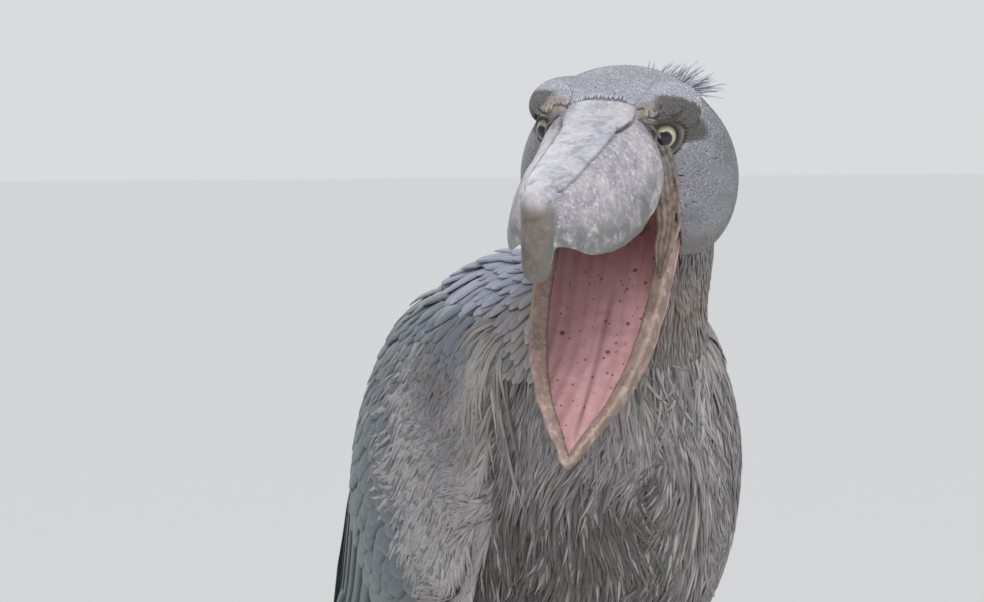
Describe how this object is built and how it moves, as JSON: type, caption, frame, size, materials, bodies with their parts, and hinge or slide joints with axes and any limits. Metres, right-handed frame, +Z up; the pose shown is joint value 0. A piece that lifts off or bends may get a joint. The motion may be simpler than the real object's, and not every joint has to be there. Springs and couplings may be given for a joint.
{
  "type": "shoebill",
  "caption": "Life-size still model of a standing shoebill with its huge hooked bill wide open, head turned aside, folded wings and long bare legs.",
  "frame": {"origin": "on the floor, under the middle of the bird's outer box", "axes": "+Z up, +X to the bird's left, -Y the way its body faces"},
  "size_m": [0.3971, 0.7827, 1.0527],
  "materials": {
    "breast_feather": "shaggy grey-brown plumes",
    "head_feather": "soft bluish grey feathers",
    "thigh_feather": "soft grey feathers",
    "upper_bill_horn": "mottled pale horn",
    "lower_bill_horn": "worn beige horn",
    "pouch_skin": "moist pink skin with dark spots",
    "flight_feather": "slate feathers with a faint gloss",
    "eye": "wet, pale iris",
    "leg_skin": "scaly dark skin",
    "claw": "dark horn"
  },
  "bodies": {
    "root": {"torso": "breast_feather", "neck": "head_feather", "head": "head_feather", "upper_bill": "upper_bill_horn", "lower_bill": "lower_bill_horn", "pouch": "pouch_skin", "tail": "flight_feather", "eye_left": "eye", "wing_left": "flight_feather", "thigh_left": "thigh_feather", "shank_left": "leg_skin", "foot_left": "leg_skin", "claw_middle_left": "claw", "claw_outer_left": "claw", "claw_inner_left": "claw", "claw_hind_left": "claw", "eye_right": "eye", "wing_right": "flight_feather", "thigh_right": "thigh_feather", "shank_right": "leg_skin", "foot_right": "leg_skin", "claw_middle_right": "claw", "claw_outer_right": "claw", "claw_inner_right": "claw", "claw_hind_right": "claw"}
  },
  "joints": []
}
